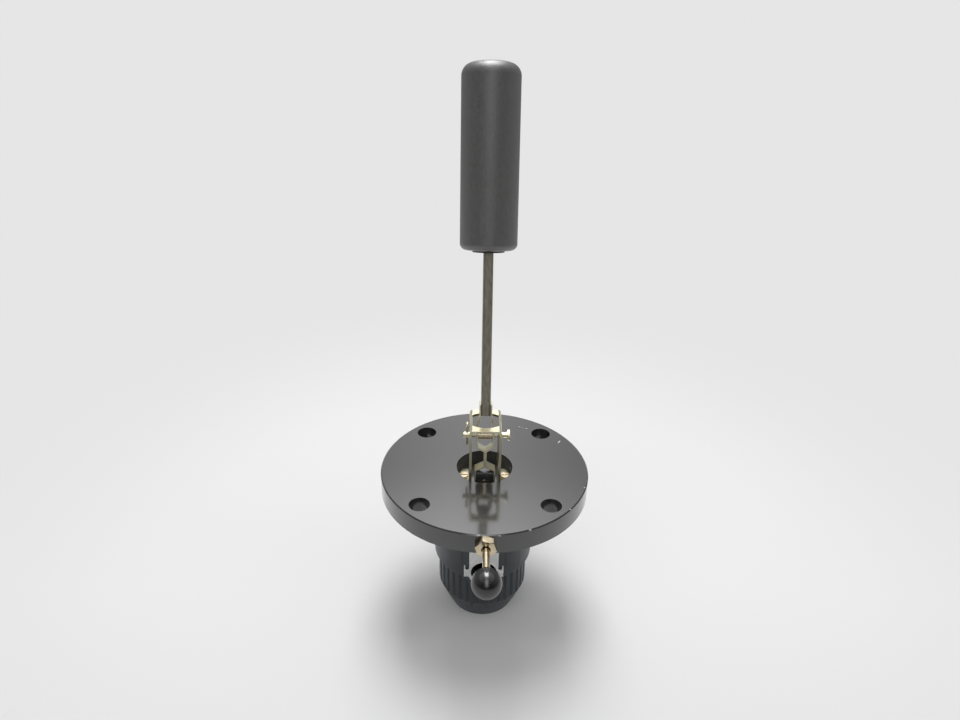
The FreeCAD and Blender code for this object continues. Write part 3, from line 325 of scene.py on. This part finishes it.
def magnetBlack():
    material, tree, shader = newMaterial("magnetBlack")
    point = objectPoint(tree)
    cloud = noise(tree, point, 260.0, 4.0)
    colour = ramp(tree, cloud, [(0.3, (0.016, 0.016, 0.017)), (0.7, (0.030, 0.030, 0.031))])
    tree.links.new(colour, shader.inputs["Base Color"])
    tree.links.new(spread(tree, cloud, 0.14, 0.24), shader.inputs["Roughness"])
    shader.inputs["Specular IOR Level"].default_value = 0.9
    bump(tree, shader, noise(tree, point, 1500.0, 3.0), 0.1, 0.0001)
    return material


def knobGloss():
    material, tree, shader = newMaterial("knobGloss")
    point = objectPoint(tree)
    cloud = noise(tree, point, 70.0, 3.0)
    colour = ramp(tree, cloud, [(0.3, (0.008, 0.008, 0.009)), (0.7, (0.013, 0.013, 0.014))])
    tree.links.new(colour, shader.inputs["Base Color"])
    tree.links.new(spread(tree, cloud, 0.15, 0.20), shader.inputs["Roughness"])
    shader.inputs["Specular IOR Level"].default_value = 0.8
    bump(tree, shader, noise(tree, point, 500.0, 2.0), 0.03, 0.0001)
    return material


def rubberDull():
    material, tree, shader = newMaterial("rubberDull")
    point = objectPoint(tree)
    cloud = noise(tree, point, 200.0, 3.0)
    colour = ramp(tree, cloud, [(0.3, (0.020, 0.020, 0.020)), (0.7, (0.034, 0.034, 0.033))])
    tree.links.new(colour, shader.inputs["Base Color"])
    tree.links.new(spread(tree, cloud, 0.6, 0.8), shader.inputs["Roughness"])
    bump(tree, shader, noise(tree, point, 1200.0, 2.0), 0.2, 0.0001)
    return material


def platedSteel():
    material, tree, shader = newMaterial("platedSteel")
    point = objectPoint(tree)
    cloud = noise(tree, point, 240.0, 3.0)
    colour = ramp(tree, cloud, [(0.3, (0.52, 0.52, 0.50)), (0.7, (0.68, 0.68, 0.66))])
    tree.links.new(colour, shader.inputs["Base Color"])
    shader.inputs["Metallic"].default_value = 1.0
    tree.links.new(spread(tree, cloud, 0.25, 0.4), shader.inputs["Roughness"])
    bump(tree, shader, noise(tree, point, 1400.0, 2.0), 0.12, 0.0001)
    return material


def mouldedPlastic(name, dark, pale):
    material, tree, shader = newMaterial(name)
    point = objectPoint(tree)
    cloud = noise(tree, point, 150.0, 3.0)
    tree.links.new(ramp(tree, cloud, [(0.3, dark), (0.7, pale)]), shader.inputs["Base Color"])
    tree.links.new(spread(tree, cloud, 0.4, 0.55), shader.inputs["Roughness"])
    bump(tree, shader, noise(tree, point, 1300.0, 2.0), 0.15, 0.0001)
    return material


slotMaterials = {
    "flange_black": flangePaint(),
    "housing_black": housingPaint(),
    "yellow_zinc": yellowZinc(),
    "gold_brass": goldBrass(),
    "bright_plate": brightPlate(),
    "float_grey": floatPlastic(),
    "rod_bronze": bronzeRod(),
    "magnet_black": magnetBlack(),
    "knob_black": knobGloss(),
    "seal_rubber": rubberDull(),
    "screw_steel": platedSteel(),
    "module_plastic": mouldedPlastic("modulePlastic", (0.05, 0.05, 0.055), (0.09, 0.09, 0.095)),
    "terminal_plastic": mouldedPlastic("terminalPlastic", (0.62, 0.60, 0.52), (0.74, 0.72, 0.64)),
}


def dressNodes():
    for entry in frame["record"]["subparts"]:
        node = nodes[entry["node"]]
        node.data.materials.clear()
        node.data.materials.append(slotMaterials[entry["material_slot"]])


dressNodes()
print("materials set")

bodyOf = {name: body for body, names in frame["record"]["behaviour"]["bodies"].items() for name in names}
same = 0.002 * mm              # corners nearer than this are one


# a copy of a node's mesh, with the doubled corners merged, that then stands in for it
def mergedCopy(nodeName, pieceName):
    piece = bpy.data.objects.new(pieceName, nodes[nodeName].data.copy())
    bpy.context.scene.collection.objects.link(piece)
    deselectAll()
    piece.select_set(True)
    bpy.context.view_layer.objects.active = piece
    bpy.ops.object.mode_set(mode="EDIT")
    bpy.ops.mesh.select_all(action="SELECT")
    bpy.ops.mesh.remove_doubles(threshold=same)
    bpy.ops.mesh.dissolve_limited(angle_limit=math.radians(0.5))
    bpy.ops.mesh.normals_make_consistent(inside=False)
    bpy.ops.object.mode_set(mode="OBJECT")
    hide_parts(nodeName)
    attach(piece, bodyOf[nodeName])
    return piece


def pickCorners(piece, wanted):
    bpy.ops.object.mode_set(mode="EDIT")
    bpy.ops.mesh.select_mode(type="VERT")
    bpy.ops.mesh.select_all(action="DESELECT")
    bpy.ops.object.mode_set(mode="OBJECT")
    for corner in piece.data.vertices:
        corner.select = wanted(corner.co)
    bpy.ops.object.mode_set(mode="EDIT")


# the housing ends in a short shoulder, and the cap's fluted barrel starts right below it
shoulder = {
    "wall": 40.5 * mm,         # radius of the solid's wall
    "drawnWall": 37.9 * mm,
    "start": -75.0 * mm,
    "length": 0.2,             # share of the solid's height of the shoulder and the neck
    "foot": 35.0 * mm,
    "drawnFoot": 36.2 * mm,
    "capRise": 12.8 * mm,
    "capMiddle": -97.0 * mm,
    "rimFoot": -23.1 * mm,     # the housing's own rim ends here and keeps its size
    "slack": 0.05 * mm,
    "ringSlack": 0.006 * mm,
}


def drawShoulder():
    housing = mergedCopy("switch_housing", "housingShell")
    centre = (0, 0, shoulder["start"])
    least = shoulder["foot"] - shoulder["slack"]
    most = shoulder["wall"] + shoulder["slack"]
    share = (shoulder["drawnWall"] - shoulder["drawnFoot"]) / (shoulder["wall"] - shoulder["foot"])

    def reach(corner):
        return math.hypot(corner.x, corner.y)

    def onShell(corner):
        return least < reach(corner) < most and corner.z < shoulder["rimFoot"]

    levels = {round(reach(corner.co), 5) for corner in housing.data.vertices if onShell(corner.co)}
    for level in sorted(levels):
        ring = shoulder["ringSlack"]
        pickCorners(housing, lambda corner: onShell(corner) and abs(reach(corner) - level) < ring)
        narrow = (shoulder["drawnFoot"] + (level - shoulder["foot"]) * share) / level
        bpy.ops.transform.resize(value=(narrow, narrow, 1), center_override=centre)
        bpy.ops.object.mode_set(mode="OBJECT")
    pickCorners(housing, lambda corner: corner.z < shoulder["start"] - same)
    bpy.ops.transform.resize(value=(1, 1, shoulder["length"]), center_override=centre)
    bpy.ops.object.mode_set(mode="OBJECT")
    bpy.ops.object.shade_smooth_by_angle(angle=math.radians(30))

    cap = mergedCopy("housing_cap", "capShell")
    pickCorners(cap, lambda corner: corner.z > shoulder["capMiddle"])
    bpy.ops.transform.translate(value=(0, 0, shoulder["capRise"]))
    bpy.ops.object.mode_set(mode="OBJECT")
    bpy.ops.object.shade_smooth_by_angle(angle=math.radians(30))


drawShoulder()
print("housing shoulder drawn")

# sheet and turned parts get the small rounding that their real edges have
edgeRounds = {
    "pivot_bracket": ("bracketSheet", 0.22 * mm),
    "left_cheek": ("leftCheekStrip", 0.16 * mm),
    "right_cheek": ("rightCheekStrip", 0.16 * mm),
    "arm_magnet": ("magnetBlock", 0.35 * mm),
    "cable_entry_plate": ("entryPlateSheet", 0.16 * mm),
    "gland_nut": ("glandHexagon", 0.14 * mm),
}


def roundedCopy(nodeName, pieceName, width):
    piece = mergedCopy(nodeName, pieceName)
    edge = piece.modifiers.new("edgeRound", "BEVEL")
    edge.width = width
    edge.segments = 2
    edge.limit_method = "ANGLE"
    edge.angle_limit = math.radians(35)
    edge.harden_normals = True
    bpy.ops.object.shade_smooth_by_angle(angle=math.radians(35))
    bpy.ops.object.modifier_apply(modifier=edge.name)


for nodeName, (pieceName, width) in edgeRounds.items():
    roundedCopy(nodeName, pieceName, width)
print("edges rounded on", len(edgeRounds), "pieces")

entryThread = {
    "radius": 9.2 * mm,
    "depth": 0.55 * mm,
    "pitch": 1.5 * mm,
    "turns": 7,
    "steps": 48,
    "mouth": -44.6 * mm,       # y of the first turn
    "height": -62.2 * mm,
}


# the gland's thread in the cable entry: a three-sided wire wound up the hole
def makeEntryThread():
    deselectAll()
    bpy.ops.mesh.primitive_circle_add(
        vertices=3,
        radius=entryThread["depth"],
        location=(entryThread["radius"], 0, 0),
        rotation=(math.radians(90), math.radians(90), 0),
    )
    thread = bpy.context.active_object
    thread.name = "entryThread"
    bpy.ops.object.transform_apply(location=True, rotation=True, scale=True)
    turn = thread.modifiers.new("winding", "SCREW")
    turn.axis = "Z"
    turn.screw_offset = entryThread["pitch"]
    turn.iterations = entryThread["turns"]
    turn.steps = entryThread["steps"]
    turn.render_steps = entryThread["steps"]
    bpy.ops.object.modifier_apply(modifier=turn.name)
    thread.rotation_euler = (math.radians(-90), 0, 0)
    thread.location = (0, entryThread["mouth"], entryThread["height"])
    bpy.ops.object.transform_apply(location=True, rotation=True, scale=True)
    bpy.ops.object.mode_set(mode="EDIT")
    bpy.ops.mesh.select_all(action="SELECT")
    bpy.ops.mesh.remove_doubles(threshold=same)
    bpy.ops.mesh.fill_holes(sides=3)
    bpy.ops.mesh.normals_make_consistent(inside=False)
    bpy.ops.object.mode_set(mode="OBJECT")
    bpy.ops.object.shade_smooth_by_angle(angle=math.radians(30))
    thread.data.materials.append(slotMaterials["housing_black"])
    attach(thread, "switch_body")


makeEntryThread()
print("entry thread wound")


# near the object the floor takes light and shadow; farther out it is the plain backdrop grey
def makeFloor():
    deselectAll()
    low = cadBox[0][2]
    bpy.ops.mesh.primitive_plane_add(size=floorSettings["size"], location=(0, 0, low))
    floor = bpy.context.active_object
    floor.name = "floor"
    material, tree, shader = newMaterial("paleFloor")
    point = objectPoint(tree)
    parts = addNode(tree, "ShaderNodeSeparateXYZ")
    tree.links.new(point, parts.inputs[0])
    # painted shade: the floor's colour darkens towards the front, before the object
    depth = spread(tree, parts.outputs["Y"], 0.0, 1.0, *floorSettings["nearShadeToFar"])
    near, far = floorSettings["near"], floorSettings["far"]
    colour = ramp(tree, depth, [(0.0, (near, near, near)), (1.0, (far, far, far))])
    tree.links.new(colour, shader.inputs["Base Color"])
    shader.inputs["Roughness"].default_value = 0.8
    grey = lightSettings["backdropGrey"]
    plain = addNode(tree, "ShaderNodeEmission")
    plain.inputs["Color"].default_value = (grey, grey, grey, 1)
    distance = addNode(tree, "ShaderNodeVectorMath", operation="LENGTH")
    tree.links.new(point, distance.inputs[0])
    reach = (floorSettings["shadowReach"], floorSettings["plainReach"])
    away = spread(tree, distance.outputs["Value"], 0.0, 1.0, *reach)
    seen = addNode(tree, "ShaderNodeLightPath")
    share = multiply(tree, away, seen.outputs["Is Camera Ray"])
    mix = addNode(tree, "ShaderNodeMixShader")
    tree.links.new(share, mix.inputs["Fac"])
    tree.links.new(shader.outputs[0], mix.inputs[1])
    tree.links.new(plain.outputs[0], mix.inputs[2])
    tree.links.new(mix.outputs[0], tree.nodes["Material Output"].inputs["Surface"])
    floor.data.materials.append(material)


def makeWorld():
    world = bpy.data.worlds.new("studio")
    bpy.context.scene.world = world
    world.use_nodes = True
    tree = world.node_tree
    tree.nodes.clear()
    strengths = (lightSettings["worldStrength"], 1.0, 1.0)
    light, seen, gloss = (addNode(tree, "ShaderNodeBackground", Strength=strength) for strength in strengths)
    grey = lightSettings["backdropGrey"]
    seen.inputs["Color"].default_value = (grey, grey, grey, 1)
    direction = addNode(tree, "ShaderNodeSeparateXYZ")
    tree.links.new(addNode(tree, "ShaderNodeTexCoord").outputs["Generated"], direction.inputs[0])
    front, side, back = (lightSettings[key] for key in ("glossFront", "glossSide", "glossBack"))
    walls = spread(tree, direction.outputs["Y"], front, 1.0, *lightSettings["frontToBack"])
    across = addNode(tree, "ShaderNodeMath", operation="ABSOLUTE")
    tree.links.new(direction.outputs["X"], across.inputs[0])
    middle = spread(tree, across.outputs[0], back, side, *lightSettings["middleToSide"])
    high = spread(tree, direction.outputs["Z"], 1.0, lightSettings["glossHigh"], *lightSettings["lowToHigh"])
    window = lightSettings["glossWindow"]
    ahead = spread(tree, direction.outputs["Y"], 1.0, 0.0, *lightSettings["windowReach"])
    narrow = spread(tree, across.outputs[0], 1.0, 0.0, *lightSettings["windowWidth"])
    raised = spread(tree, direction.outputs["Z"], 0.0, window, *lightSettings["windowRise"])
    whole = addNode(tree, "ShaderNodeMath", operation="ADD")
    tree.links.new(multiply(tree, walls, multiply(tree, middle, high)), whole.inputs[0])
    tree.links.new(multiply(tree, multiply(tree, ahead, narrow), raised), whole.inputs[1])
    gloss.inputs["Color"].default_value = (1, 1, 1, 1)
    tree.links.new(whole.outputs[0], gloss.inputs["Strength"])
    rays = addNode(tree, "ShaderNodeLightPath")
    shiny = addNode(tree, "ShaderNodeMath", operation="MAXIMUM")
    tree.links.new(rays.outputs["Is Glossy Ray"], shiny.inputs[0])
    tree.links.new(rays.outputs["Is Transmission Ray"], shiny.inputs[1])
    first = addNode(tree, "ShaderNodeMixShader")
    tree.links.new(shiny.outputs[0], first.inputs["Fac"])
    tree.links.new(light.outputs[0], first.inputs[1])
    tree.links.new(gloss.outputs[0], first.inputs[2])
    second = addNode(tree, "ShaderNodeMixShader")
    tree.links.new(rays.outputs["Is Camera Ray"], second.inputs["Fac"])
    tree.links.new(first.outputs[0], second.inputs[1])
    tree.links.new(seen.outputs[0], second.inputs[2])
    output = addNode(tree, "ShaderNodeOutputWorld")
    tree.links.new(second.outputs[0], output.inputs["Surface"])


def addLamp(name, place, power, size, length):
    data = bpy.data.lights.new(name, "AREA")
    data.energy = power
    data.shape = "RECTANGLE"
    data.size = size
    data.size_y = length
    lamp = bpy.data.objects.new(name, data)
    bpy.context.scene.collection.objects.link(lamp)
    lamp.location = place
    lamp.rotation_euler = (Vector((0, 0, 0.05)) - Vector(place)).to_track_quat("-Z", "Y").to_euler()
    return lamp


def makeLights():
    wide = lightSettings["fillSize"]
    addLamp("topLamp", lightSettings["topPlace"], lightSettings["topPower"], lightSettings["topSize"],
            lightSettings["topLength"])
    fill = addLamp("fillLamp", lightSettings["fillPlace"], lightSettings["fillPower"], wide, wide)
    side = addLamp("sideLamp", lightSettings["sidePlace"], lightSettings["sidePower"], wide, wide)
    fill.visible_glossy = False      # they only lift the shade, and mirror in nothing
    side.visible_glossy = False


def makeCamera():
    data = bpy.data.cameras.new("photoCamera")
    data.lens = cameraSettings["lens"]
    data.sensor_width = 36.0
    camera = bpy.data.objects.new("photoCamera", data)
    bpy.context.scene.collection.objects.link(camera)
    tilt = math.radians(90.0 - cameraSettings["down"])
    turn = Euler((tilt, 0, math.radians(cameraSettings["heading"]))).to_matrix()
    turn = turn @ Matrix.Rotation(math.radians(cameraSettings["roll"]), 3, "Z")
    camera.location = cameraSettings["place"]
    camera.rotation_euler = turn.to_euler()
    bpy.context.scene.camera = camera


makeFloor()
makeWorld()
makeLights()
makeCamera()
bpy.context.scene.view_settings.view_transform = "Standard"
print("stage, lights and camera set")
